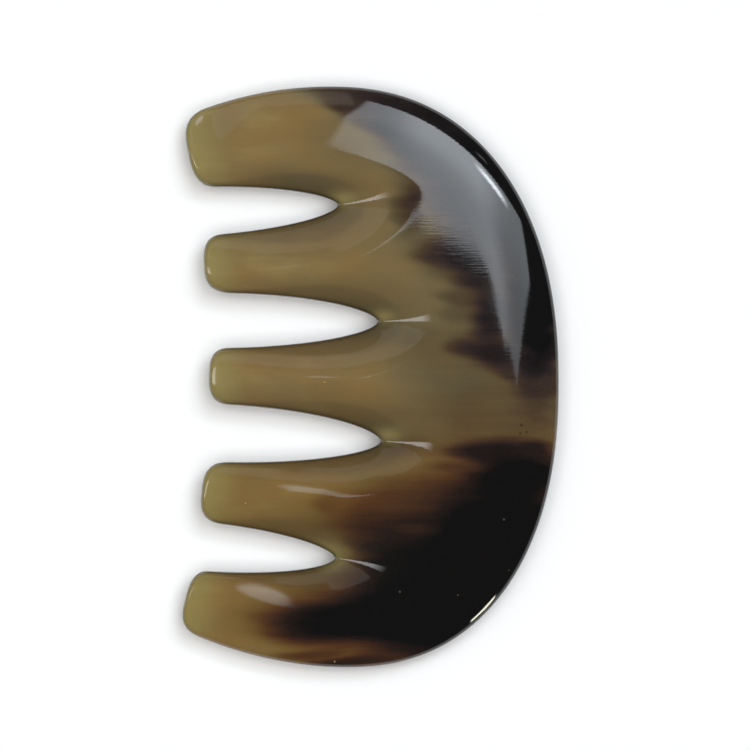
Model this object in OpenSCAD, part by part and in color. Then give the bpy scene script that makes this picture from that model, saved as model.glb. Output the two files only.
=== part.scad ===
// Scalp massage comb, cut and polished from one flat piece of horn.
// X runs from the teeth to the rounded back, Y along the comb and Z up through its thickness.
// It lies on the flat of its underside, with the origin under the middle of its outline.

/* [Faces] */
// Thickness at the middle of the body
thickness = 9; // [8:0.25:10]
// Depth of the flat ground on the underside, on which the comb lies
rest_cut = 0.2; // [0.1:0.05:0.25]
// Radius of the gentle dome of both faces, along the comb
dome_along = 900; // [700:50:1500]
// Radius of the same dome from the middle to the back
dome_back = 600; // [450:50:1200]
// Radius of the same dome from the middle to the teeth, which thins them to their ends
dome_teeth = 380; // [340:10:600]
// Radius of the round that runs along every edge
rim_r = 1; // [0.8:0.1:1.2]

/* [Back] */
// Reach of the rounded back from the middle
back_x = 32.4; // [31.5:0.1:33.5]
// Place of that reach along the comb
back_y = -1; // [-2:0.25:0]
// Squareness of the back's curve, where 2 is a plain ellipse
back_square = 2.275; // [2.15:0.025:2.4]
// Width over which the faces fall away to the outer edge
outer_fall = 10; // [8:0.5:12]
// Share of the thickness that is left at the outer edge, before its round
outer_share = 0.5; // [0.45:0.01:0.6]
// Power of that fall, where 1 is a flat bevel
outer_power = 2.4; // [2:0.1:3]

/* [Teeth] */
// Squareness of the teeth's rounded ends
tip_square = 3; // [2.6:0.1:3.2]
// Width over which the faces fall away to the ends of the teeth
tip_fall = 7; // [6:0.5:9]
// Share of the thickness that is left at the ends, before their round
tip_share = 0.99; // [0.95:0.01:1]

/* [Slots] */
// Power that pinches a slot to its closed end
slot_pinch = 1.7; // [1.6:0.05:1.8]
// Width of the hollow that is ground round a slot's closed end from both faces
hollow_w = 8.5; // [8:0.1:9]
// Share of that width at the mouth of the slot
hollow_mouth = 0.4; // [0.35:0.05:0.5]
// Share of the thickness that is left at the edge of a slot's mouth, before its round
mouth_share = 0.7; // [0.6:0.01:0.75]
// Share of the thickness that is left at the closed end, before its round
end_share = 0.33; // [0.3:0.01:0.4]
// Power of a hollow's fall at the mouth of a slot, where 1 is a flat bevel
mouth_power = 1.3; // [1.2:0.05:1.5]
// Power of a hollow's fall at the closed end
end_power = 1.5; // [1.3:0.05:1.8]

/* [Hidden] */
horn = [0.36, 0.29, 0.16];

// The outline's highest and lowest points, from which it falls away to the outer teeth.
// Columns: place across, place along, fall over fall_run, power of the fall
CREST_X = 0;
CREST_Y = 1;
FALL = 2;
FALL_POWER = 3;
crests = [
    [-7, 50.05, 5.1, 2.06],
    [-4.15, -50.05, 5.05, 1.98],
];
fall_run = 25;

// The teeth's ends, from the top tooth down.
// Columns: place across, slant from middle to side, depth of the round above and below the middle
TIP_X = 0;
SLANT = 1;
DEEP_UP = 2;
DEEP_DOWN = 3;
tips = [
    [-31.5, -1.15, 4.8, 4.1],
    [-28.7, -0.2, 3.9, 5.4],
    [-27.8, 0.1, 3.7, 4.2],
    [-29.1, 0.55, 4.5, 4.6],
    [-32, 1.25, 3.1, 4.3],
];

// The slots, from the top one down.
// Columns: place of the closed end, half width above and below the middle line, run over which
// that width is reached, lean of the middle line
END_X = 0;
END_Y = 1;
HALF_UP = 2;
HALF_DOWN = 3;
RUN = 4;
LEAN = 5;
slots = [
    [-5.7, 29.6, 4.15, 4.25, 26.5, -0.045],
    [1.2, 9.5, 4.9, 4.5, 28.5, 0],
    [1.7, -11.1, 5.4, 4.5, 29.5, 0.035],
    [-6.2, -31.2, 4.3, 4.15, 25, 0.085],
];

// The hollows past the slots' closed ends, from the top one down.
// Columns: slope of the middle line, reach past the end, width above and below that line
SLOPE = 0;
REACH = 1;
WIDE_UP = 2;
WIDE_DOWN = 3;
hollows = [
    [0.1, 14.6, 7.8, 9.6],
    [0.05, 11.5, 8, 8],
    [-0.01, 11.5, 8, 8],
    [-0.07, 16.5, 9, 8],
];

// Angles at which the lines between the sectors meet the back, from the top down
back_angles = [61, 34.5, 11, -11, -40.5, -63.5];

top_half = (thickness + rest_cut) / 2;
rest_half = top_half - rest_cut;
last = len(tips) - 1;

// The mesh has one sector for each tooth, from its end to the back.
// Steps along a sector: round the tip's corner, down the slot's side, past the slot, to the back
corner_n = 5;
side_n = 9;
past_n = 7;
body_n = 5;
rim_n = 4;
along_n = corner_n + side_n + past_n + body_n + rim_n;
slot_end_n = corner_n + side_n;
// Steps across a sector
across_n = 16;
half_n = across_n / 2;
// Angle round a tooth's end at which its corner starts
corner_angle = 30;
// Power that crowds the steps down a slot's side towards its end
side_crowd = 1.7;
// Length of the close steps past a slot's end
past_len = 14;
// Length from a slot's end to the back, nearly the same for all sectors
body_len = 32;
// Points taken along each side of a slot for the distance from its edge, crowded to its end,
// and the run that they cover
edge_n = 24;
edge_run = 1.2;

function mix(a, b, f) = a + (b - a) * f;
function clamp01(v) = min(max(v, 0), 1);
// Distances from an edge at which its round is cut into equal angles
rim_steps = [for (i = [0 : rim_n]) rim_r * (1 - cos(90 * i / rim_n))];

// Outline

function outer_y(c, x) =
    let (crest = crests[c], run = max(crest[CREST_X] - x, 0) / fall_run)
    crest[CREST_Y] - sign(crest[CREST_Y]) * crest[FALL] * pow(run, crest[FALL_POWER]);

// Side of slot s towards the tooth above it for side 1, below it for side -1
function slot_y(s, side, x) =
    let (
        row = slots[s],
        t = max(row[END_X] - x, 0),
        half = side > 0 ? row[HALF_UP] : row[HALF_DOWN],
        open = pow(1 - pow(1 - min(t / row[RUN], 1), 2), 1 / slot_pinch)
    )
    row[END_Y] + row[LEAN] * t + side * half * open;

function upper_y(k, x) = k == 0 ? outer_y(0, x) : slot_y(k - 1, -1, x);
function lower_y(k, x) = k == last ? outer_y(1, x) : slot_y(k, 1, x);

// Point of a tooth's end, with e from -1 at its lower side to 1 at its upper side
function tip_point(k, e) =
    let (
        row = tips[k],
        deep = e > 0 ? row[DEEP_UP] : row[DEEP_DOWN],
        round = 1 - pow(1 - pow(abs(e), tip_square), 1 / tip_square),
        x = row[TIP_X] + row[SLANT] * e + deep * round
    )
    [x, mix(lower_y(k, x), upper_y(k, x), (1 + e) / 2)];

// Point of the back at an angle, from -90 at the lowest point to 90 at the highest
function back_point(angle) =
    let (crest = crests[angle > 0 ? 0 : 1], p = 2 / back_square)
    [
        mix(crest[CREST_X], back_x, pow(cos(angle), p)),
        mix(back_y, crest[CREST_Y], pow(abs(sin(angle)), p)),
    ];

// Chains of points along a sector, from the tooth's end to the back

corner_e = [
    for (i = [0 : corner_n])
        pow(sin(mix(corner_angle, 90, i / corner_n)), 2 / tip_square)
];
side_left = [for (i = [1 : side_n]) pow(1 - i / side_n, side_crowd)];
past_share = past_len / body_len;
body_share = 1 - rim_r / body_len;
body_steps = concat(
    [for (i = [1 : past_n]) past_share * i / past_n],
    [for (i = [1 : body_n]) mix(past_share, body_share, i / body_n)],
    [for (i = [rim_n - 1 : -1 : 0]) 1 - rim_steps[i] / body_len]
);

function corner_chain(k, side) = [for (e = corner_e) tip_point(k, side * e)];

// Direction of the middle line past slot s
function hollow_dir(s) = let (slope = hollows[s][SLOPE]) [1, slope] / norm([1, slope]);

// Chain past slot s, on its upper side for side 1 and on its lower side for side -1
function slot_chain(s, side) =
    let (
        row = slots[s],
        k = side > 0 ? s : s + 1,
        corner = corner_chain(k, -side),
        run = row[END_X] - corner[corner_n][0],
        start = [row[END_X], row[END_Y]],
        out = start + past_len * hollow_dir(s),
        back = back_point(back_angles[s + 1])
    )
    concat(
        corner,
        [for (left = side_left) let (x = row[END_X] - run * left) [x, slot_y(s, side, x)]],
        [
            for (f = body_steps)
                f < past_share ? mix(start, out, f / past_share)
                : mix(out, back, (f - past_share) / (1 - past_share))
        ]
    );

// Chain along the outline, over the top for c 0 and under the bottom for c 1
function outer_chain(c) =
    let (
        k = c == 0 ? 0 : last,
        corner = corner_chain(k, c == 0 ? 1 : -1),
        crest = crests[c],
        run = crest[CREST_X] - corner[corner_n][0],
        turn = c == 0 ? 90 : -90,
        end = back_angles[c == 0 ? 0 : last + 1]
    )
    concat(
        corner,
        [for (left = side_left) let (x = crest[CREST_X] - run * left) [x, outer_y(c, x)]],
        [for (f = body_steps) back_point(mix(turn, end, f))]
    );

function upper_chain(k) = k == 0 ? outer_chain(0) : slot_chain(k - 1, -1);
function lower_chain(k) = k == last ? outer_chain(1) : slot_chain(k, 1);

// Distances from an edge

function seg_gap(p, a, b) =
    let (d = b - a, f = clamp01(((p - a) * d) / (d * d)))
    norm(p - a - f * d);
function line_gap(p, line) =
    min([for (i = [1 : len(line) - 1]) seg_gap(p, line[i - 1], line[i])]);

// Point in slot s's own measure, in which its hollow is hollow_w wide all round
function in_hollow(s, p) =
    let (
        row = hollows[s],
        dir = hollow_dir(s),
        q = p - [slots[s][END_X], slots[s][END_Y]],
        u = q * dir,
        v = q * [-dir[1], dir[0]],
        squeeze = 1 + max(u, 0) * (1 / hollow_w - 1 / row[REACH])
    )
    [u / squeeze, v * hollow_w / (v > 0 ? row[WIDE_UP] : row[WIDE_DOWN])];

// Edge of slot s in the same measure
function slot_line(s) =
    let (
        row = slots[s],
        lefts = [for (i = [0 : edge_n - 1]) edge_run * row[RUN] * pow(1 - i / edge_n, 2)],
        sides = [
            for (side = [1, -1])
                [for (left = lefts) [row[END_X] - left, slot_y(s, side, row[END_X] - left)]]
        ]
    )
    [
        for (p = concat(sides[0], [[row[END_X], row[END_Y]]], backward(sides[1])))
            in_hollow(s, p)
    ];
function backward(list) = [for (i = [len(list) - 1 : -1 : 0]) list[i]];
slot_lines = [for (s = [0 : last - 1]) slot_line(s)];

// Height of the faces over the middle plane

// Share of the height at a distance from an edge, from low at the edge to 1 past the width
function fall(gap, width, low, power) =
    mix(low, 1, 1 - pow(1 - clamp01(gap / width), power));

// Share that the hollow round slot s leaves, which deepens from the slot's mouth to its end
function hollow(s, p) =
    s < 0 || s >= last ? 1
    : let (
        x = clamp01(1 + (p[0] - slots[s][END_X]) / slots[s][RUN]),
        into = x * x * (3 - 2 * x),
        width = hollow_w * mix(hollow_mouth, 1, into),
        low = mix(mouth_share, end_share, into),
        power = mix(mouth_power, end_power, into)
    )
    fall(line_gap(in_hollow(s, p), slot_lines[s]), width, low, power);

// How far the round of an edge lies under the face at a distance from that edge
function rounded(gap) = rim_r * (1 - sqrt(1 - pow(1 - clamp01(gap / rim_r), 2)));

function tip_gap(k, p) =
    let (
        low = lower_y(k, p[0]),
        high = upper_y(k, p[0]),
        e = clamp01((p[1] - low) / (high - low)) * 2 - 1
    )
    p[0] - tips[k][TIP_X] - tips[k][SLANT] * e;

function dome(p) =
    let (across = p[0] > 0 ? dome_back : dome_teeth)
    top_half - p[0] * p[0] / (2 * across) - p[1] * p[1] / (2 * dome_along);

// Height at a point of sector k, with its distances from the outer edge and from any edge
function height(k, p, outer_gap, edge_gap) =
    dome(p)
    * fall(outer_gap, outer_fall, outer_share, outer_power)
    * fall(tip_gap(k, p), tip_fall, tip_share, outer_power)
    * hollow(k - 1, p) * hollow(k, p)
    - rounded(edge_gap);

// Sectors of the mesh

// How far the steps across are crowded to the edge, at step i of a chain
function crowd(i, is_outer) =
    i < corner_n ? i / corner_n
    : is_outer ? 1
    : clamp01(1 - (i - slot_end_n) / past_n);

// Distance from the edge at step j across a sector of a width
function step_gap(j, width, crowded) =
    mix(
        width * j / across_n,
        j <= rim_n ? rim_steps[j] : mix(rim_r, width / 2, (j - rim_n) / (half_n - rim_n)),
        crowded
    );

function sector_share(i, j, width, k) =
    j <= half_n ? step_gap(j, width, crowd(i, k == last)) / width
    : 1 - step_gap(across_n - j, width, crowd(i, k == 0)) / width;

// Points of sector k in plan: straight from chain to chain, bulged to the tip's and back's curves
function sector_plan(k) =
    let (
        low = lower_chain(k),
        high = upper_chain(k),
        e_end = corner_e[0],
        back_low = back_angles[k + 1],
        back_high = back_angles[k]
    )
    [
        for (i = [0 : along_n])
            let (
                width = norm(high[i] - low[i]),
                by_tip = pow(max(1 - i / corner_n, 0), 2),
                by_back = i <= slot_end_n ? 0 : pow(body_steps[i - slot_end_n - 1], 2)
            )
            [
                for (j = [0 : across_n])
                    let (
                        f = sector_share(i, j, width, k),
                        tip_bulge = tip_point(k, mix(-e_end, e_end, f)) - mix(low[0], high[0], f),
                        back_bulge = back_point(mix(back_low, back_high, f))
                            - mix(low[along_n], high[along_n], f)
                    )
                    mix(low[i], high[i], f) + by_tip * tip_bulge + by_back * back_bulge
            ]
    ];

plans = [for (k = [0 : last]) sector_plan(k)];

function column(rows, j, start, end) = [for (i = [start : end]) rows[i][j]];

// The edge from the top tooth's corner over the back to the bottom tooth's corner
outer_line = concat(
    column(plans[0], across_n, corner_n, along_n),
    [for (k = [0 : last]) each backward(plans[k][along_n])],
    backward(column(plans[last], 0, corner_n, along_n))
);

function on_edge(k, i, j) =
    i == 0 || i == along_n
    || (j == 0 && (k == last || i <= slot_end_n))
    || (j == across_n && (k == 0 || i <= slot_end_n));

function sector_heights(k) =
    let (
        plan = plans[k],
        sides = [for (j = [0, across_n]) column(plan, j, 0, slot_end_n)],
        tooth_edges = [plan[0], sides[0], sides[1]]
    )
    [
        for (i = [0 : along_n])
            [
                for (j = [0 : across_n])
                    let (
                        p = plan[i][j],
                        outer_gap = line_gap(p, outer_line),
                        tooth_gap = min([for (edge = tooth_edges) line_gap(p, edge)])
                    )
                    height(k, p, outer_gap, on_edge(k, i, j) ? 0 : min(outer_gap, tooth_gap))
            ]
    ];

// Points of one face of sector k, the upper one for side 1 and the lower one for side -1
function face_points(plan, heights, side) =
    [
        for (i = [0 : along_n])
            for (j = [0 : across_n])
                let (h = side > 0 ? heights[i][j] : min(heights[i][j], rest_half))
                [plan[i][j][0], plan[i][j][1], rest_half + side * h]
    ];

// Triangles of one face, starting at a point's number, cut towards the sector's corners
function face_triangles(start, side) =
    [
        for (i = [0 : along_n - 1])
            for (j = [0 : across_n - 1])
                let (
                    a = start + i * (across_n + 1) + j,
                    b = a + across_n + 1,
                    outward = (i < slot_end_n) == (j < half_n),
                    cut = outward ? [[a, b + 1, b], [a, a + 1, b + 1]]
                        : [[a, a + 1, b], [b, a + 1, b + 1]]
                )
                for (t = cut) side > 0 ? t : [t[2], t[1], t[0]]
    ];

function number(i, j) = i * (across_n + 1) + j;

// Ways along the edge of sector k on which a wall stands, anticlockwise from above, as numbers
// of its points
function wall_ways(k) =
    let (
        low_end = k == last ? along_n : slot_end_n,
        high_end = k == 0 ? along_n : slot_end_n
    )
    [
        [for (i = [0 : low_end]) number(i, 0)],
        [for (j = [0 : across_n]) number(along_n, j)],
        [for (i = [high_end : -1 : 0]) number(i, across_n)],
        [for (j = [across_n : -1 : 0]) number(0, j)],
    ];

// Triangles of the walls of sector k, from the first points of its upper and its lower face
function wall_faces(k, upper, lower) =
    [
        for (way = wall_ways(k))
            for (m = [1 : len(way) - 1])
                let (a = way[m - 1], b = way[m])
                each [[upper + a, upper + b, lower + b], [upper + a, lower + b, lower + a]]
    ];

module comb() {
    heights = [for (k = [0 : last]) sector_heights(k)];
    size = (along_n + 1) * (across_n + 1);
    points = [
        for (k = [0 : last])
            for (side = [1, -1])
                each face_points(plans[k], heights[k], side)
    ];
    faces = [
        for (k = [0 : last])
            let (upper = 2 * k * size, lower = upper + size)
            each concat(
                face_triangles(upper, 1),
                face_triangles(lower, -1),
                wall_faces(k, upper, lower)
            )
    ];
    color(horn) polyhedron(points = points, faces = faces, convexity = 6);
}

comb();
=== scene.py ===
"""A scalp massage comb of polished horn, lying on a pale floor under soft studio light.

The comb is one piece. It is built again here from the same sizes and formulas as its
solid, on a finer mesh, whose points also hold the measures that its material needs.
X runs from the teeth to the rounded back, Y along the comb and Z up. Sizes in tables
and formulas are in millimetres, and Blender's own units are metres.
"""
import math

import bpy
import numpy as np
from mathutils import Matrix, Vector


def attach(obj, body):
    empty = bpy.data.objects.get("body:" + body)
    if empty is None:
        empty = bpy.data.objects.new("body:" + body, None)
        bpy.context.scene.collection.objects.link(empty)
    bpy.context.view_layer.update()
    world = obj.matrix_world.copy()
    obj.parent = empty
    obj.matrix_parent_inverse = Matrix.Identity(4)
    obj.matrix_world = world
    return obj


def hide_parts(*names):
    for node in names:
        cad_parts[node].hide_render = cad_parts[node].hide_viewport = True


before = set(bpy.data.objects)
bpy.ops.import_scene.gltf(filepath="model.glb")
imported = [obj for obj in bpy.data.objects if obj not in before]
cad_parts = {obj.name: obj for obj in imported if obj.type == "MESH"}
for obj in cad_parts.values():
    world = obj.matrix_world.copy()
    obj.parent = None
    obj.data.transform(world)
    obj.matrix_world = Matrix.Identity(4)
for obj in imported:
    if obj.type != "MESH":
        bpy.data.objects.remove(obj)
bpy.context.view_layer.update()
scene = bpy.context.scene

MM = 0.001

# Sizes of the comb

# Thickness at the middle of the body, and how deep the underside's flat is cut
THICKNESS = 9.0
REST_CUT = 0.2
# Radii of the gentle dome of both faces: along the comb, to the back and to the teeth
DOME_ALONG, DOME_BACK, DOME_TEETH = 900.0, 600.0, 380.0
# Radius of the round that runs along every edge
RIM_R = 1.0
# Reach of the rounded back, that reach's place along the comb, and the curve's squareness
BACK_X, BACK_Y, BACK_SQUARE = 32.4, -1.0, 2.275
# Fall of the faces to the outer edge: its width, share of the thickness left, and power
OUTER_FALL, OUTER_SHARE, OUTER_POWER = 10.0, 0.5, 2.4
# Squareness of the teeth's ends, and the width and share of the faces' fall to them
TIP_SQUARE, TIP_FALL, TIP_SHARE = 3.0, 7.0, 0.99
# Power that pinches a slot to its closed end
SLOT_PINCH = 1.7
# Width of the hollow round a slot's closed end, and share of it at the slot's mouth
HOLLOW_W = 8.5
HOLLOW_MOUTH = 0.4
# Share of the thickness left, and power of the hollow's fall, at a slot's mouth and end
MOUTH_SHARE, MOUTH_POWER = 0.7, 1.3
END_SHARE, END_POWER = 0.33, 1.5
# Run over which the outline falls away from its highest and lowest points
FALL_RUN = 25.0

# Highest and lowest points of the outline: x, y, fall over that run, power of the fall
CRESTS = [(-7, 50.05, 5.1, 2.06), (-4.15, -50.05, 5.05, 1.98)]
# Teeth's ends from the top down: x, slant from middle to side, depth of the round above
# and below the middle
TIPS = [
    (-31.5, -1.15, 4.8, 4.1),
    (-28.7, -0.2, 3.9, 5.4),
    (-27.8, 0.1, 3.7, 4.2),
    (-29.1, 0.55, 4.5, 4.6),
    (-32, 1.25, 3.1, 4.3),
]
# Slots from the top down: closed end's x and y, half width above and below the middle
# line, run over which that width is reached, lean of the middle line
SLOTS = [
    (-5.7, 29.6, 4.15, 4.25, 26.5, -0.045),
    (1.2, 9.5, 4.9, 4.5, 28.5, 0),
    (1.7, -11.1, 5.4, 4.5, 29.5, 0.035),
    (-6.2, -31.2, 4.3, 4.15, 25, 0.085),
]
# Hollows past the slots' ends from the top down: slope of the middle line, reach past the
# end, width above and below that line
HOLLOWS = [
    (0.1, 14.6, 7.8, 9.6),
    (0.05, 11.5, 8, 8),
    (-0.01, 11.5, 8, 8),
    (-0.07, 16.5, 9, 8),
]
# Angles at which the lines between the sectors meet the back, from the top down
BACK_ANGLES = [61, 34.5, 11, -11, -40.5, -63.5]

TOP_HALF = (THICKNESS + REST_CUT) / 2
REST_HALF = TOP_HALF - REST_CUT
LAST = len(TIPS) - 1

# The mesh has one sector for each tooth, from its end to the back.
# Steps along a sector: round the tip's corner, down the slot's side, along the hollow past
# the slot, over the body and round the rim
CORNER_N, SIDE_N, CREASE_N, BODY_N, RIM_N = 12, 40, 38, 22, 8
ALONG_N = CORNER_N + SIDE_N + CREASE_N + BODY_N + RIM_N
SLOT_END_N = CORNER_N + SIDE_N
# Steps across a sector, and up the wall that joins its faces
ACROSS_N = 54
HALF_N = ACROSS_N // 2
WALL_N = 3
# Angle round a tooth's end at which its corner starts
CORNER_ANGLE = 30.0
# Powers that crowd the steps before and past a slot's end towards it
SIDE_CROWD = 1.7
CREASE_CROWD = 1.6
# Length of the close steps past a slot's end, and from that end to the back
CREASE_LEN = 14.0
BODY_LEN = 32.0
# Steps along each side of a slot for the distance from its edge, and the share of the
# slot's run that they cover
SLOT_LINE_N = 150
SLOT_LINE_RUN = 1.2
# Points that are measured at a time, and the squared length that a segment has at least, so
# that nothing is divided by zero
GAP_BATCH = 2000
TINY = 1e-12
# Decimals to which points that belong together agree
JOIN_DIGITS = 4


def mix(a, b, f):
    """The value at share f of the way from a to b."""
    return a + (b - a) * f


def clamp01(v):
    return np.clip(v, 0.0, 1.0)


def ease(f):
    """A rise from 0 to 1 that starts and ends level."""
    return f * f * (3 - 2 * f)


# Distances from an edge at which its round is cut into equal angles
RIM_STEPS = [RIM_R * (1 - math.cos(math.pi / 2 * i / RIM_N)) for i in range(RIM_N + 1)]

# Outline

# Below, k counts the teeth and their sectors, s the slots and c the two crests, all from the
# top down. p holds points as rows of x and y, f is a share from 0 to 1, and e runs round a
# tooth's end from -1 at its lower side to 1 at its upper side.


def outer_y(c, x):
    """The outline's y at x, over the top for c 0 and under the bottom for c 1."""
    crest_x, crest_y, fall_y, power = CRESTS[c]
    run = np.maximum(crest_x - x, 0) / FALL_RUN
    return crest_y - math.copysign(fall_y, crest_y) * run**power


def slot_y(s, side, x):
    """The y of slot s's edge at x, on its upper side for side 1 and on its lower for -1."""
    end_x, end_y, up, down, run, lean = SLOTS[s]
    t = np.maximum(end_x - x, 0)
    half = up if side > 0 else down
    opened = (1 - (1 - np.minimum(t / run, 1)) ** 2) ** (1 / SLOT_PINCH)
    return end_y + lean * t + side * half * opened


def upper_y(k, x):
    """The y of tooth k's upper side at x."""
    return outer_y(0, x) if k == 0 else slot_y(k - 1, -1, x)


def lower_y(k, x):
    """The y of tooth k's lower side at x."""
    return outer_y(1, x) if k == LAST else slot_y(k, 1, x)


def tip_point(k, e):
    """Point of tooth k's end at e."""
    tip_x, slant, deep_up, deep_down = TIPS[k]
    deep = deep_up if e > 0 else deep_down
    rounded = 1 - max(1 - abs(e) ** TIP_SQUARE, 0) ** (1 / TIP_SQUARE)
    x = tip_x + slant * e + deep * rounded
    return np.array([x, mix(lower_y(k, x), upper_y(k, x), (1 + e) / 2)])


def back_point(angle):
    """Point of the back at an angle, from -90 at the lowest point to 90 at the highest."""
    crest_x, crest_y = CRESTS[0 if angle > 0 else 1][:2]
    power = 2 / BACK_SQUARE
    a = math.radians(angle)
    return np.array([
        mix(crest_x, BACK_X, max(math.cos(a), 0) ** power),
        mix(BACK_Y, crest_y, abs(math.sin(a)) ** power),
    ])


# Chains of points along a sector's sides, from the tooth's end to the back

# Values of e at the steps round the tip's corner
CORNER_E = [
    math.sin(math.radians(mix(CORNER_ANGLE, 90, i / CORNER_N))) ** (2 / TIP_SQUARE)
    for i in range(CORNER_N + 1)
]
# Shares of the slot's depth that are left at the steps down its side
SIDE_LEFT = [(1 - i / SIDE_N) ** SIDE_CROWD for i in range(1, SIDE_N + 1)]
# Shares of the way from a slot's end to the back, at the ends of the close steps and of the
# body, and at every step
CREASE_SHARE = CREASE_LEN / BODY_LEN
BODY_SHARE = 1 - RIM_R / BODY_LEN
BODY_STEPS = (
    [CREASE_SHARE * (i / CREASE_N) ** CREASE_CROWD for i in range(1, CREASE_N + 1)]
    + [mix(CREASE_SHARE, BODY_SHARE, i / BODY_N) for i in range(1, BODY_N + 1)]
    + [1 - RIM_STEPS[i] / BODY_LEN for i in range(RIM_N - 1, -1, -1)]
)


def corner_chain(k, side):
    """Chain round the corner of tooth k's end, at its upper side for side 1, its lower for -1."""
    return [tip_point(k, side * e) for e in CORNER_E]


def crease_dir(s):
    """Direction of the middle line past slot s."""
    d = np.array([1.0, HOLLOWS[s][0]])
    return d / np.linalg.norm(d)


def slot_chain(s, side):
    """Chain along slot s and past it, on its upper side for side 1 and its lower for -1."""
    end_x, end_y = SLOTS[s][:2]
    corner = corner_chain(s if side > 0 else s + 1, -side)
    run = end_x - corner[-1][0]
    start = np.array([end_x, end_y])
    out = start + CREASE_LEN * crease_dir(s)
    back = back_point(BACK_ANGLES[s + 1])
    sides = [np.array([x, slot_y(s, side, x)]) for x in (end_x - run * f for f in SIDE_LEFT)]
    body = [
        mix(start, out, f / CREASE_SHARE) if f < CREASE_SHARE
        else mix(out, back, (f - CREASE_SHARE) / (1 - CREASE_SHARE))
        for f in BODY_STEPS
    ]
    return np.array(corner + sides + body)


def outer_chain(c):
    """Chain along the outline, over the top for c 0 and under the bottom for c 1."""
    corner = corner_chain(0 if c == 0 else LAST, 1 if c == 0 else -1)
    crest_x = CRESTS[c][0]
    run = crest_x - corner[-1][0]
    turn, end = (90, BACK_ANGLES[0]) if c == 0 else (-90, BACK_ANGLES[-1])
    sides = [np.array([x, outer_y(c, x)]) for x in (crest_x - run * f for f in SIDE_LEFT)]
    return np.array(corner + sides + [back_point(mix(turn, end, f)) for f in BODY_STEPS])


# Height of the faces over the middle plane


def line_gap(p, line):
    """Distance of each point from a chain of short segments."""
    a, b = line[:-1], line[1:]
    d = b - a
    length = np.maximum(np.sum(d * d, axis=1), TINY)
    gap = np.empty(len(p))
    for start in range(0, len(p), GAP_BATCH):
        q = p[start:start + GAP_BATCH, None, :] - a[None]
        f = clamp01(np.sum(q * d, axis=2) / length)
        nearest = np.min(np.linalg.norm(q - f[..., None] * d, axis=2), axis=1)
        gap[start:start + GAP_BATCH] = nearest
    return gap


def in_hollow(s, p):
    """Points in slot s's own measure, in which its hollow is HOLLOW_W wide all round."""
    _, reach, up, down = HOLLOWS[s]
    dx, dy = crease_dir(s)
    q = p - np.array(SLOTS[s][:2])
    u, v = q[:, 0] * dx + q[:, 1] * dy, q[:, 1] * dx - q[:, 0] * dy
    squeeze = 1 + np.maximum(u, 0) * (1 / HOLLOW_W - 1 / reach)
    return np.column_stack([u / squeeze, v * HOLLOW_W / np.where(v > 0, up, down)])


def slot_line(s):
    """Edge of slot s in the same measure, as a chain with its points crowded to the end."""
    end_x, end_y, _, _, run, _ = SLOTS[s]
    f = np.linspace(1, 0, SLOT_LINE_N + 1)[:-1] ** 2
    x = end_x - SLOT_LINE_RUN * run * f
    upper, lower = (np.column_stack([x, slot_y(s, side, x)]) for side in (1, -1))
    return in_hollow(s, np.concatenate([upper, [[end_x, end_y]], lower[::-1]]))


def fall(gap, width, low, power):
    """Share of the height at a distance from an edge, from low there to 1 at the width."""
    return mix(low, 1.0, 1 - (1 - clamp01(gap / width)) ** power)


def hollow(s, p):
    """Share that the hollow round slot s leaves, which deepens from its mouth to its end."""
    if s < 0 or s >= LAST:
        return np.ones(len(p))
    into = ease(clamp01(1 + (p[:, 0] - SLOTS[s][0]) / SLOTS[s][4]))
    width = HOLLOW_W * mix(HOLLOW_MOUTH, 1, into)
    low = mix(MOUTH_SHARE, END_SHARE, into)
    gap = line_gap(in_hollow(s, p), slot_line(s))
    return fall(gap, width, low, mix(MOUTH_POWER, END_POWER, into))


def tip_gap(k, p):
    """Distance of each point along X from the end of tooth k."""
    low, high = lower_y(k, p[:, 0]), upper_y(k, p[:, 0])
    e = clamp01((p[:, 1] - low) / (high - low)) * 2 - 1
    return p[:, 0] - TIPS[k][0] - TIPS[k][1] * e


def height(k, p, outer_gap, edge_gap):
    """Height at points of sector k, with their distances from the outline and any edge."""
    across = np.where(p[:, 0] > 0, DOME_BACK, DOME_TEETH)
    dome = TOP_HALF - p[:, 0] ** 2 / (2 * across) - p[:, 1] ** 2 / (2 * DOME_ALONG)
    rounded = RIM_R * (1 - np.sqrt(1 - (1 - clamp01(edge_gap / RIM_R)) ** 2))
    return (
        dome
        * fall(outer_gap, OUTER_FALL, OUTER_SHARE, OUTER_POWER)
        * fall(tip_gap(k, p), TIP_FALL, TIP_SHARE, OUTER_POWER)
        * hollow(k - 1, p) * hollow(k, p)
        - rounded
    )


# Sectors of the mesh


def crowd(i, is_outer):
    """How far the steps across are crowded to the edge, at step i of a chain."""
    if i < CORNER_N:
        return i / CORNER_N
    return 1.0 if is_outer else min(max(1 - (i - SLOT_END_N) / CREASE_N, 0), 1)


def step_gap(j, width, crowded):
    """Distance from the edge at step j across a sector of a width."""
    far = mix(RIM_R, width / 2, (j - RIM_N) / (HALF_N - RIM_N))
    return mix(width * j / ACROSS_N, RIM_STEPS[j] if j <= RIM_N else far, crowded)


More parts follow.
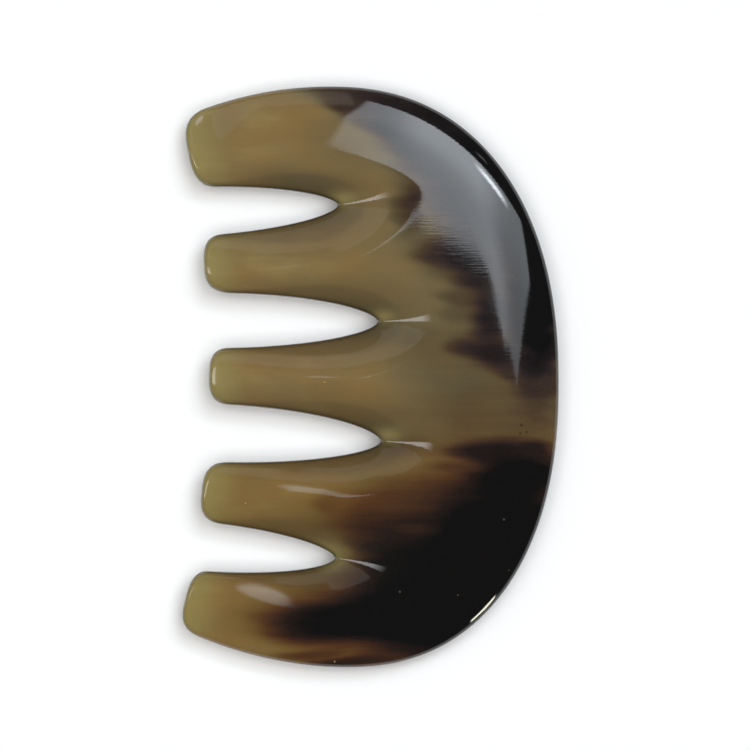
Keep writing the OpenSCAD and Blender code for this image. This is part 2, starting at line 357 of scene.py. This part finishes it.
def sector_plan(k):
    """Plan of sector k: x and y at each step along it, and at each step across."""
    low = outer_chain(1) if k == LAST else slot_chain(k, 1)
    high = outer_chain(0) if k == 0 else slot_chain(k - 1, -1)
    plan = np.empty((ALONG_N + 1, ACROSS_N + 1, 2))
    for i in range(ALONG_N + 1):
        width = np.linalg.norm(high[i] - low[i])
        by_tip = max(1 - i / CORNER_N, 0) ** 2
        by_back = 0 if i <= SLOT_END_N else BODY_STEPS[i - SLOT_END_N - 1] ** 2
        for j in range(ACROSS_N + 1):
            if j <= HALF_N:
                f = step_gap(j, width, crowd(i, k == LAST)) / width
            else:
                f = 1 - step_gap(ACROSS_N - j, width, crowd(i, k == 0)) / width
            point = mix(low[i], high[i], f)
            if by_tip:
                e = mix(-CORNER_E[0], CORNER_E[0], f)
                point = point + by_tip * (tip_point(k, e) - mix(low[0], high[0], f))
            if by_back:
                angle = mix(BACK_ANGLES[k + 1], BACK_ANGLES[k], f)
                point = point + by_back * (back_point(angle) - mix(low[-1], high[-1], f))
            plan[i, j] = point
    return plan


def outline(plans):
    """The outline without the teeth's ends, as one chain of points."""
    top, bottom = plans[0][CORNER_N:, -1], plans[LAST][CORNER_N:, 0]
    return np.concatenate([top] + [plan[-1][::-1] for plan in plans] + [bottom[::-1]])


def wall_ways(k, number):
    """Ways round sector k on which a wall joins its faces, as rows of point numbers."""
    low_end = ALONG_N if k == LAST else SLOT_END_N
    high_end = ALONG_N if k == 0 else SLOT_END_N
    return [number[:low_end + 1, 0], number[-1], number[high_end::-1, -1], number[0, ::-1]]


def sector_faces(k, plan, outer_line, ways):
    """Points of sector k's upper and lower face, each with the fields of its material:
    distance from an edge, how thin the hollows leave it, and distance from the tip."""
    p = plan.reshape(-1, 2)
    outer = line_gap(p, outer_line)
    edges = [plan[0], plan[:SLOT_END_N + 1, 0], plan[:SLOT_END_N + 1, -1]]
    edge = np.min([outer] + [line_gap(p, line) for line in edges], axis=0)
    edge[np.concatenate(ways)] = 0
    h = height(k, p, outer, edge)
    thin = 1 - hollow(k - 1, p) * hollow(k, p)
    fields = np.column_stack([edge, thin, tip_gap(k, p)])
    top = np.column_stack([p, REST_HALF + h, fields])
    bottom = np.column_stack([p, REST_HALF - np.minimum(h, REST_HALF), fields])
    return top, bottom


def wall(low_row, high_row):
    """Points of the wall between two rows, and its quads."""
    rows = np.array([mix(low_row, high_row, f) for f in np.linspace(0, 1, WALL_N + 1)])
    count = len(low_row)
    n = np.arange(WALL_N * count).reshape(WALL_N, -1)[:, :-1]
    quads = np.stack([n, n + 1, n + 1 + count, n + count], axis=-1)
    return rows.reshape(-1, rows.shape[2]), quads.reshape(-1, 4)


def comb_mesh():
    """All points of the comb with their fields, and all quads."""
    plans = [sector_plan(k) for k in range(LAST + 1)]
    outer_line = outline(plans)
    number = np.arange((ALONG_N + 1) * (ACROSS_N + 1)).reshape(ALONG_N + 1, ACROSS_N + 1)
    a, b = number[:-1, :-1], number[1:, :-1]
    cells = np.stack([a, b, b + 1, a + 1], axis=-1).reshape(-1, 4)
    strips = []
    for k, plan in enumerate(plans):
        ways = wall_ways(k, number)
        top, bottom = sector_faces(k, plan, outer_line, ways)
        strips += [(top, cells), (bottom, cells[:, ::-1])]
        strips += [wall(bottom[way], top[way]) for way in ways]
    starts = np.cumsum([0] + [len(points) for points, _ in strips])
    points = np.concatenate([points for points, _ in strips])
    return points, np.concatenate([quads + at for (_, quads), at in zip(strips, starts)])


# Pattern of the horn

# The horn's dark places, charted and laid one over another: middle x, y, half length,
# half width, turn, and darkness, which is 0 for the palest horn, 1 for black, and more where
# no streak shows in the black
MARKS = [
    # darker body towards the back, and under the top edge
    (13, 4.5, 9, 4.5, 0, 0.34),
    (14.7, 11, 3.5, 2, 0, 0.4),
    (21, -5, 14, 8, 0, 0.39),
    (-2, 40, 10, 4, -10, 0.24),
    # band under the top edge and down the back
    (1, 48.5, 13, 3, -8, 0.66),
    (-4, 46, 5.5, 2, -25, 0.6),
    (6, 42.5, 8, 4, -35, 0.95),
    (11, 45.5, 6, 2.5, -25, 0.8),
    (20.5, 33, 16.5, 10.5, -47, 1.1),
    (28.5, 13.5, 5, 16, 0, 1.15),
    (29.5, -1.5, 3, 1.5, 0, 0.62),
    # ragged blotches beside it
    (13, 20.5, 5.5, 2.8, -10, 0.68),
    (18, 19.5, 6.5, 4.2, -50, 0.9),
    (15.5, 13.5, 4, 1.5, -10, 0.48),
    (21, 10.5, 3.5, 5, 0, 0.88),
    (15.5, 5, 3, 1.5, 0, 0.62),
    (21.5, 4, 6, 2.5, -15, 0.85),
    (24.5, 0.5, 3, 1.5, -35, 0.65),
    # hollow of the first slot
    (-9, 33.5, 11, 2, -6, 0.2),
    (6.5, 28.5, 3, 4.5, 0, 0.5),
    (7.5, 29.5, 1.5, 3, 0, 0.64),
    # brown above the fourth slot
    (7, -19.5, 9, 3, 0, 0.44),
    (1.5, -23.5, 10.5, 3.5, 0, 0.54),
    (-6.5, -22, 3.5, 2, 0, 0.38),
    (5, -26, 9.5, 2.5, 0, 0.78),
    (2.5, -29, 9, 2.5, 0, 0.7),
    (6, -32, 7, 2, 0, 1),
    # fringe of the black lower back
    (20.5, -12.5, 7, 1.8, 0, 0.82),
    (25, -17, 8.5, 4, 0, 1.1),
    (14.5, -15.5, 4.5, 1, 0, 0.44),
    # black lower back and its smear into the last tooth
    (-15, -39, 8, 2.5, 4, 0.26),
    (-7, -42.2, 12.5, 3.8, 3, 1),
    (22.5, -29, 14.5, 12.5, 0, 1.2),
    (9, -39.5, 16, 10, 0, 1.2),
    (-9, -47.5, 7, 1, 6, 0.55),
    (-3, -49, 8.5, 1, 2, 0.75),
    # touches over these
    (7.5, -26, 4, 1.5, 0, 0.76),
    (7, -12, 5, 2.2, 0, 0.36),
    (29, -12.8, 3, 1.5, -10, 0.85),
    (-7.5, -29.5, 3.8, 2.4, -20, 0.05),
]
# Power of a mark's fade to its border, where 1 is a plain bell curve
MARK_POWER = 1.6
# Waves that shift the marks' borders: height, radians for each millimetre of X and of Y, and
# start
X_WAVES = [(0.4, 0, 0.9, 0.5), (0.35, 0.3, 2.1, 0)]
Y_WAVES = [(0.3, 0.3, 0.3, 0)]
# Darkness of the teeth and of the body, and the places across between which it changes
TOOTH_TONE, BODY_TONE = 0.1, 0.28
BODY_START, BODY_FULL = -9.0, 20.0
# Painted glow of light at each slot's end: middle x and y from the end, half length and half width
SLOT_END_GLOW_SPOTS = [
    (1.2, 1.1, 2.6, 1.3),
    (0.9, 0.9, 2.2, 1.1),
    (1.2, 1.1, 2.6, 1.3),
    (-1.1, 0.4, 3, 2.3),
]
# Pores and pale specks of the surface: x, y, radius, and from 0 for dark to 1 for pale
SPECKS = [
    (25.9, -8.3, 0.3, 0),
    (25.7, -9.7, 0.25, 0),
    (26.8, -9.5, 0.25, 0),
    (-7.9, -0.9, 0.15, 1),
    (-21.5, -21.7, 0.15, 1),
    (22.9, -24.5, 0.2, 0.2),
    (15, -37.5, 0.15, 0.2),
    (5, -36.9, 0.2, 0.2),
    (23.8, -33.3, 0.12, 0.2),
    (-6.2, -49, 0.15, 1),
]


def waved(values, p, waves):
    """Values at points, shifted there by waves."""
    for reach, by_x, by_y, start in waves:
        values = values + reach * np.sin(by_x * p[:, 0] + by_y * p[:, 1] + start)
    return values


def darkness(p):
    """How dark the horn is at each point, in the marks' measure."""
    x, y = waved(p[:, 0], p, X_WAVES), waved(p[:, 1], p, Y_WAVES)
    dark = mix(TOOTH_TONE, BODY_TONE, ease(clamp01((x - BODY_START) / (BODY_FULL - BODY_START))))
    for mid_x, mid_y, long, wide, turn, level in MARKS:
        a = math.radians(turn)
        u = (x - mid_x) * math.cos(a) + (y - mid_y) * math.sin(a)
        v = (y - mid_y) * math.cos(a) - (x - mid_x) * math.sin(a)
        dark = mix(dark, level, np.exp(-((u / long) ** 2 + (v / wide) ** 2) ** MARK_POWER))
    return dark


def slot_end_glow(p):
    """How much of a slot end's painted glow lies at each point, from 0 to 1."""
    spots = []
    for slot, (x, y, long, wide) in zip(SLOTS, SLOT_END_GLOW_SPOTS):
        u, v = (p[:, 0] - slot[0] - x) / long, (p[:, 1] - slot[1] - y) / wide
        spots.append(np.exp(-(u**2) - v**2))
    return np.max(spots, axis=0)


# Material


def srgb(*levels):
    """A colour as it looks on a screen, from 0 to 255, as light by the sRGB curve."""
    shares = [level / 255 for level in levels]
    return [((v + 0.055) / 1.055) ** 2.4 if v > 0.04045 else v / 12.92 for v in shares] + [1]


class Nodes:
    """Short calls for the nodes of one material, light or world."""

    def __init__(self, owner):
        owner.use_nodes = True
        self.nodes, self.links = owner.node_tree.nodes, owner.node_tree.links

    def put(self, socket, value):
        """Links a socket to a value's node, or sets it to a plain value."""
        if isinstance(value, bpy.types.NodeSocket):
            self.links.new(value, socket)
        else:
            socket.default_value = value

    def math(self, operation, *values, clamp=False):
        node = self.nodes.new("ShaderNodeMath")
        node.operation, node.use_clamp = operation, clamp
        for socket, value in zip(node.inputs, values):
            self.put(socket, value)
        return node.outputs[0]

    def swing(self, value, reach):
        """A value from 0 to 1 as a swing to both sides of 0."""
        return self.math("MULTIPLY", self.math("SUBTRACT", value, 0.5), reach)

    def attribute(self, name):
        node = self.nodes.new("ShaderNodeAttribute")
        node.attribute_name = name
        return node.outputs["Fac"]

    def axes(self, vector):
        """X, Y and Z of a vector."""
        node = self.nodes.new("ShaderNodeSeparateXYZ")
        self.put(node.inputs[0], vector)
        return node.outputs

    def place(self):
        """The piece's own place in metres."""
        return self.nodes.new("ShaderNodeTexCoord").outputs["Object"]

    def noise(self, scale, detail=4.0, roughness=0.5):
        """Noise over the piece's own place, with a scale for each axis in features a metre."""
        mapping = self.nodes.new("ShaderNodeMapping")
        self.put(mapping.inputs["Vector"], self.place())
        mapping.inputs["Scale"].default_value = scale
        node = self.nodes.new("ShaderNodeTexNoise")
        self.put(node.inputs["Vector"], mapping.outputs[0])
        node.inputs["Scale"].default_value = 1.0
        node.inputs["Detail"].default_value = detail
        node.inputs["Roughness"].default_value = roughness
        return node.outputs["Fac"]

    def spread(self, value, low, high, to_low=0.0, to_high=1.0, smooth=True):
        """A value between two limits, spread between two others."""
        node = self.nodes.new("ShaderNodeMapRange")
        node.interpolation_type = "SMOOTHSTEP" if smooth else "LINEAR"
        for socket, v in zip(node.inputs, (value, low, high, to_low, to_high)):
            self.put(socket, v)
        return node.outputs[0]

    def fade(self, value, share, full, end):
        """A share where a value is up to full, which fades to nothing at end."""
        return self.spread(value, full, end, to_low=share, to_high=0.0)

    def blend(self, factor, a, b, mode="MIX"):
        """Colour a blended towards b by a factor."""
        node = self.nodes.new("ShaderNodeMix")
        node.data_type, node.blend_type = "RGBA", mode
        self.put(node.inputs["Factor"], factor)
        self.put(node.inputs["A"], a)
        self.put(node.inputs["B"], b)
        return node.outputs["Result"]

    def ramp(self, value, stops, interpolation="LINEAR"):
        """The colour at a value, from stops of places and colours."""
        node = self.nodes.new("ShaderNodeValToRGB")
        node.color_ramp.interpolation = interpolation
        elements = node.color_ramp.elements
        while len(elements) < len(stops):
            elements.new(1.0)
        for element, (at, colour) in zip(elements, stops):
            element.position, element.color = at, colour
        self.put(node.inputs[0], value)
        return node.outputs[0]


# Darkness of the horn, and its colour there in the upper and in the lower half
TONES = [
    (0.0, srgb(155, 140, 92), srgb(150, 134, 80)),
    (0.1, srgb(129, 107, 67), srgb(127, 101, 57)),
    (0.22, srgb(112, 97, 65), srgb(114, 90, 47)),
    (0.36, srgb(91, 79, 54), srgb(99, 71, 36)),
    (0.5, srgb(73, 58, 40), srgb(81, 52, 28)),
    (0.64, srgb(55, 42, 36), srgb(61, 37, 23)),
    (0.8, srgb(34, 26, 26), srgb(36, 23, 18)),
    (1.0, srgb(8, 7, 8), srgb(8, 7, 7)),
]
# Place along the comb where the lower half's colours are full, below its middle
LOWER_FULL = -20 * MM
# A warmer and a greener brown, between which the horn drifts
WARM_TINT, GREEN_TINT = (1.03, 0.98, 0.92, 1), (0.97, 1.0, 1.03, 1)
# Colours of a pore and of a pale speck, of the painted glow at the teeth's ends, of the
# painted shade in the hollows, of the painted glow at the slots' ends and of the painted
# shade line along the edge
PORE, SPECK = srgb(24, 18, 14), srgb(200, 185, 130)
TIP_GLOW_COLOUR = srgb(150, 142, 88)
HOLLOW_SHADE_COLOUR = srgb(46, 43, 32)
SLOT_END_GLOW_COLOUR = srgb(138, 126, 80)
EDGE_SHADE_COLOUR = srgb(24, 22, 12)


def horn_tones(n):
    """The horn's colour by its darkness, ragged along its fibres."""
    fibre = n.noise((70, 1900, 1900), detail=5.0, roughness=0.6)
    streak = n.noise((22, 420, 420), detail=4.0)
    cloud = n.noise((110, 170, 170), detail=3.0)
    dark = n.attribute("dark")
    # streaks matter most where the horn turns from pale to dark
    turning = n.spread(dark, 0.28, 0.55, to_low=0.035, to_high=0.2)
    ragged = n.math("ADD", n.swing(fibre, 0.7), n.swing(streak, 1.3))
    tone = n.math("ADD", dark, n.math("MULTIPLY", ragged, turning))
    tone = n.math("ADD", tone, n.swing(cloud, 0.12), clamp=True)
    upper, lower = (n.ramp(tone, [(stop[0], stop[half]) for stop in TONES]) for half in (1, 2))
    by_half = n.spread(n.axes(n.place())["Y"], LOWER_FULL, 0, to_low=1, to_high=0)
    drift = n.spread(n.noise((60, 130, 130), detail=2.0), 0.35, 0.65)
    tint = n.blend(drift, WARM_TINT, GREEN_TINT)
    return n.blend(1.0, n.blend(by_half, upper, lower), tint, mode="MULTIPLY")


def with_speck(n, colour, x, y, radius, pale):
    """The colour with one pore or pale speck on it."""
    place = n.axes(n.place())
    dx = n.math("SUBTRACT", place["X"], x * MM)
    dy = n.math("SUBTRACT", place["Y"], y * MM)
    gap = n.math("SQRT", n.math("ADD", n.math("POWER", dx, 2.0), n.math("POWER", dy, 2.0)))
    spot = n.fade(gap, share=0.6, full=0.5 * radius * MM, end=1.2 * radius * MM)
    return n.blend(spot, colour, [mix(a, b, pale) for a, b in zip(PORE, SPECK)])


def horn_colour(n):
    """The horn's colour all over, with its specks, painted shade in the hollows and along the
    edges, and painted glow at the teeth's and slots' ends.
    """
    colour = horn_tones(n)
    for speck in SPECKS:
        colour = with_speck(n, colour, *speck)
    # painted glow of light through the thinner horn: greener and paler towards the teeth's ends
    tip_glow = n.fade(n.attribute("tip"), share=0.55, full=0.5, end=8.0)
    colour = n.blend(tip_glow, colour, TIP_GLOW_COLOUR)
    # painted shade in the hollows, darker where they leave the horn thinnest
    thin = n.attribute("thin")
    hollow_shade_step = n.spread(thin, 0.22, 0.32, to_low=0.0, to_high=0.15)
    hollow_shade = n.math("ADD", n.math("MULTIPLY", thin, 0.8), hollow_shade_step, clamp=True)
    colour = n.blend(hollow_shade, colour, HOLLOW_SHADE_COLOUR)
    # a painted glow of light at the slots' ends
    colour = n.blend(n.math("MULTIPLY", n.attribute("pale"), 0.75), colour, SLOT_END_GLOW_COLOUR)
    # painted shade: a thin dark line where the round of the edge turns away
    edge_shade = n.fade(n.attribute("edge"), share=0.45, full=0.05, end=0.5)
    return n.blend(edge_shade, colour, EDGE_SHADE_COLOUR)


def horn_material():
    """Glossy, slightly see-through horn with fine hairlines."""
    material = bpy.data.materials.new("polished_horn")
    n = Nodes(material)
    shader = n.nodes["Principled BSDF"]
    n.put(shader.inputs["Base Color"], horn_colour(n))
    shader.inputs["Roughness"].default_value = 0.04
    shader.inputs["IOR"].default_value = 1.55
    shader.inputs["Subsurface Weight"].default_value = 0.25
    shader.inputs["Subsurface Radius"].default_value = (1.0, 0.6, 0.3)
    shader.inputs["Subsurface Scale"].default_value = 2.0 * MM

    # fine hairlines of the polish along the fibres
    bump = n.nodes.new("ShaderNodeBump")
    bump.inputs["Strength"].default_value = 0.1
    bump.inputs["Distance"].default_value = 0.02 * MM
    n.put(bump.inputs["Height"], n.noise((220, 3200, 3200), detail=3.0))
    n.put(shader.inputs["Normal"], bump.outputs[0])
    return material


# The comb


def make_comb():
    """The comb's mesh with its fields as attributes, and its material."""
    points, quads = comb_mesh()
    # joins the points that sectors, faces and walls share
    places = np.round(points[:, :3], JOIN_DIGITS)
    _, first, number = np.unique(places, axis=0, return_index=True, return_inverse=True)
    points, quads = points[first], number.ravel()[quads]
    mesh = bpy.data.meshes.new("horn_comb")
    mesh.from_pydata((points[:, :3] * MM).tolist(), [], quads.tolist())
    mesh.validate()
    mesh.shade_smooth()
    fields = {
        "edge": points[:, 3], "thin": points[:, 4], "tip": points[:, 5],
        "dark": darkness(points), "pale": slot_end_glow(points),
    }
    for name, values in fields.items():
        layer = mesh.attributes.new(name, "FLOAT", "POINT")
        layer.data.foreach_set("value", values.astype(np.float32))
    mesh.materials.append(horn_material())
    piece = bpy.data.objects.new("horn_comb", mesh)
    scene.collection.objects.link(piece)
    return piece


comb = make_comb()
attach(comb, "root")
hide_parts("comb")

# Floor and camera, in metres

# Half of the floor's side
FLOOR_HALF = 3.0
# Width and middle of the view at the comb's middle plane, and the camera's height over it
VIEW_WIDTH = 0.12931
VIEW_X, VIEW_Y = 0.741 * MM, 0.319 * MM
CAMERA_UP = 1.0
# Width of the camera's sensor, in millimetres
SENSOR = 36.0


def floor_material():
    """Pale matt paint."""
    material = bpy.data.materials.new("pale_floor")
    shader = Nodes(material).nodes["Principled BSDF"]
    shader.inputs["Base Color"].default_value = (0.95, 0.95, 0.95, 1)
    shader.inputs["Roughness"].default_value = 0.9
    shader.inputs["Specular IOR Level"].default_value = 0.1
    return material


def make_floor():
    """The floor under the comb."""
    mesh = bpy.data.meshes.new("floor")
    corners = [(-1, -1), (1, -1), (1, 1), (-1, 1)]
    mesh.from_pydata([(x * FLOOR_HALF, y * FLOOR_HALF, 0) for x, y in corners], [], [(0, 1, 2, 3)])
    floor = bpy.data.objects.new("floor", mesh)
    scene.collection.objects.link(floor)
    mesh.materials.append(floor_material())


def make_camera():
    """A camera that looks straight down on the comb."""
    data = bpy.data.cameras.new("camera")
    data.sensor_width = SENSOR
    data.lens = SENSOR * CAMERA_UP / VIEW_WIDTH
    camera = bpy.data.objects.new("camera", data)
    camera.location = (VIEW_X, VIEW_Y, REST_HALF * MM + CAMERA_UP)
    scene.collection.objects.link(camera)
    scene.camera = camera


make_floor()
make_camera()

# Lights, in metres and degrees

# Colours of the softbox and its lamps, of the low lamp and of the light from above
COOL, WARM, SKY = (0.93, 1, 1.07), (1, 0.97, 0.8), (1, 0.985, 0.965)
# The great softbox: azimuth, lean, distance and height of its lower edge, its own height, and
# the distance and height of its upper edge
BOX_AZIMUTH, BOX_LEAN = 63, 17.7
BOX_DISTANCE, BOX_LOW, BOX_TALL = 1.44, 1.9, 3.13
BOX_TOP_DISTANCE = BOX_DISTANCE - BOX_TALL * math.sin(math.radians(BOX_LEAN))
BOX_TOP = BOX_LOW + BOX_TALL * math.cos(math.radians(BOX_LEAN))
# Its light from its right end to its left and from its lower edge to its upper, as places and
# shares, and the cuts of its corners: share of the place across and upward, and limit
BOX_ACROSS = [
    (0, 0.42), (0.24, 0.47), (0.326, 0.64), (0.44, 0.98), (0.594, 1),
    (0.728, 0.96), (0.814, 0.7), (0.938, 0.5), (1, 0.5),
]
BOX_UPWARD = [
    (0, 1), (0.2, 0.95), (0.38, 0.78), (0.6, 0.66), (0.8, 0.61), (0.93, 0.56), (1, 0.48),
]
BOX_CUTS = [
    (1, -0.163, -0.043), (1, 0.575, 0.144), (0.418, -1, -0.87),
    (-1, -0.09, -1.025), (-1, 0.139, -0.957),
]
# The light of a lamp that fades to all its edges
FADED = [(0, 0), (0.3, 0.9), (0.7, 0.9), (1, 0)]
# Half width of a cut's soft border, as a share of its panel
CUT_SOFT = 0.01
# Height of the dim panels and of the strip
PANEL_UP = 1.3


def panel(name, corner, along, up, radiance, colour=(1, 1, 1)):
    """A lit rectangle from one corner along two edges, facing the comb."""
    corner, along, up = Vector(corner), Vector(along), Vector(up)
    data = bpy.data.lights.new(name, "AREA")
    data.shape = "RECTANGLE"
    data.size, data.size_y = along.length, up.length
    # an area light's radiance is its power over pi times its area
    data.energy = radiance * math.pi * data.size * data.size_y
    data.color = colour
    light = bpy.data.objects.new(name, data)
    centre = corner + (along + up) / 2
    x, y = along.normalized(), up.normalized()
    z = x.cross(y)
    if z.dot(centre) < 0:
        x, z = -x, -z
    light.matrix_world = Matrix.Translation(centre) @ Matrix((x, y, z)).transposed().to_4x4()
    light.visible_camera = False
    scene.collection.objects.link(light)
    return light


def standing(name, distance, low, left, right, tall, radiance, colour=COOL,
             azimuth=BOX_AZIMUTH, lean=BOX_LEAN):
    """A panel that stands square to an azimuth and leans over the comb. The distance and the
    height are its lower edge's, and its left and right ends are measured from that azimuth."""
    a, t = math.radians(azimuth), math.radians(lean)
    out = Vector((math.cos(a), math.sin(a), 0))
    along = Vector((math.sin(a), -math.cos(a), 0))
    up = Vector((0, 0, 1)) * math.cos(t) - out * math.sin(t)
    corner = out * distance + Vector((0, 0, low)) + along * left
    return panel(name, corner, along * (right - left), up * tall, radiance, colour)


def graded(light, across, upward, cuts=()):
    """Grades a panel's light by two ramps of places from 0 to 1 and shares: from its right
    end to its left, and from its lower edge to its upper. A cut leaves dark the corner where
    its share of the place across plus its share of the place upward is under its limit."""
    n = Nodes(light.data)
    x, y = n.axes(n.nodes.new("ShaderNodeNewGeometry").outputs["Parametric"])[:2]
    ramps = [
        n.ramp(place, [(at, (level, level, level, 1)) for at, level in stops], "CARDINAL")
        for place, stops in ((x, across), (y, upward))
    ]
    share = n.math("MULTIPLY", *ramps)
    for by_across, by_upward, limit in cuts:
        line = n.math("ADD", n.math("MULTIPLY", x, by_across), n.math("MULTIPLY", y, by_upward))
        kept = n.spread(line, limit - CUT_SOFT, limit + CUT_SOFT, smooth=False)
        share = n.math("MULTIPLY", share, kept)
    n.put(n.nodes["Emission"].inputs["Strength"], share)


def make_softbox():
    """The great softbox, brightest low in its middle, with the lamps that join it."""
    softbox = standing(
        "softbox", distance=BOX_DISTANCE, low=BOX_LOW, left=-0.64, right=1.36, tall=BOX_TALL,
        radiance=6.0,
    )
    graded(softbox, BOX_ACROSS, BOX_UPWARD, BOX_CUTS)
    # a low piece that rises from its upper edge
    riser = standing(
        "riser", distance=BOX_TOP_DISTANCE, low=BOX_TOP, left=0.29, right=0.72, tall=0.3,
        radiance=2.9,
    )
    graded(riser, [(0, 0.9), (0.75, 0.9), (1, 0)], [(0, 1), (0.7, 0.9), (1, 0)], [(1, -0.5, 0)])
    # the bright lamp at its lower edge, and a thin one under it
    lamp = standing(
        "lamp", distance=1.41, low=1.97, left=0.42, right=0.88, tall=0.2, radiance=15
    )
    graded(lamp, FADED, FADED)
    rail = standing(
        "rail", distance=1.514, low=1.688, left=0.42, right=0.58, tall=0.04, radiance=3
    )
    graded(rail, FADED, FADED)


def make_panels():
    """Dim panels to the upper left, and the bright strip to the left."""
    panel(
        "fill_left", corner=(-0.31, 0.25, PANEL_UP), along=(-0.8, 0, 0), up=(0, 0.64, 0),
        radiance=0.42,
    )
    panel(
        "fill_above", corner=(0.03, 0.89, PANEL_UP), along=(-1.14, 0, 0), up=(0, 0.54, 0),
        radiance=0.42,
    )
    strip = panel(
        "strip", corner=(-0.25, -0.02, PANEL_UP), along=(-1.93, -0.06, 0), up=(0, 0.11, 0),
        radiance=4.5,
    )
    graded(strip, [(0, 1), (0.9, 1), (1, 0)], [(0, 1), (1, 1)])


def make_low_lamp():
    """A lamp beyond the lower right, seen only as a streak on the rim."""
    low_lamp = standing(
        "low_lamp", distance=1.0, low=0.2, left=-0.08, right=0.09, tall=0.34, radiance=18,
        colour=WARM, azimuth=-46, lean=0,
    )
    low_lamp.visible_diffuse = False


def make_sky():
    """Broad light from above, which shows in no reflection, and faint light all round."""
    sky = panel(
        "sky", corner=(-1.0, -1.0, 2.2), along=(2.0, 0, 0), up=(0, 1.6, 0), radiance=3.3,
        colour=SKY,
    )
    sky.visible_glossy = False
    world = bpy.data.worlds.new("world")
    scene.world = world
    background = Nodes(world).nodes["Background"]
    background.inputs["Color"].default_value = (1, 1, 1, 1)
    background.inputs["Strength"].default_value = 0.1


make_softbox()
make_panels()
make_low_lamp()
make_sky()
scene.view_settings.view_transform = "Standard"
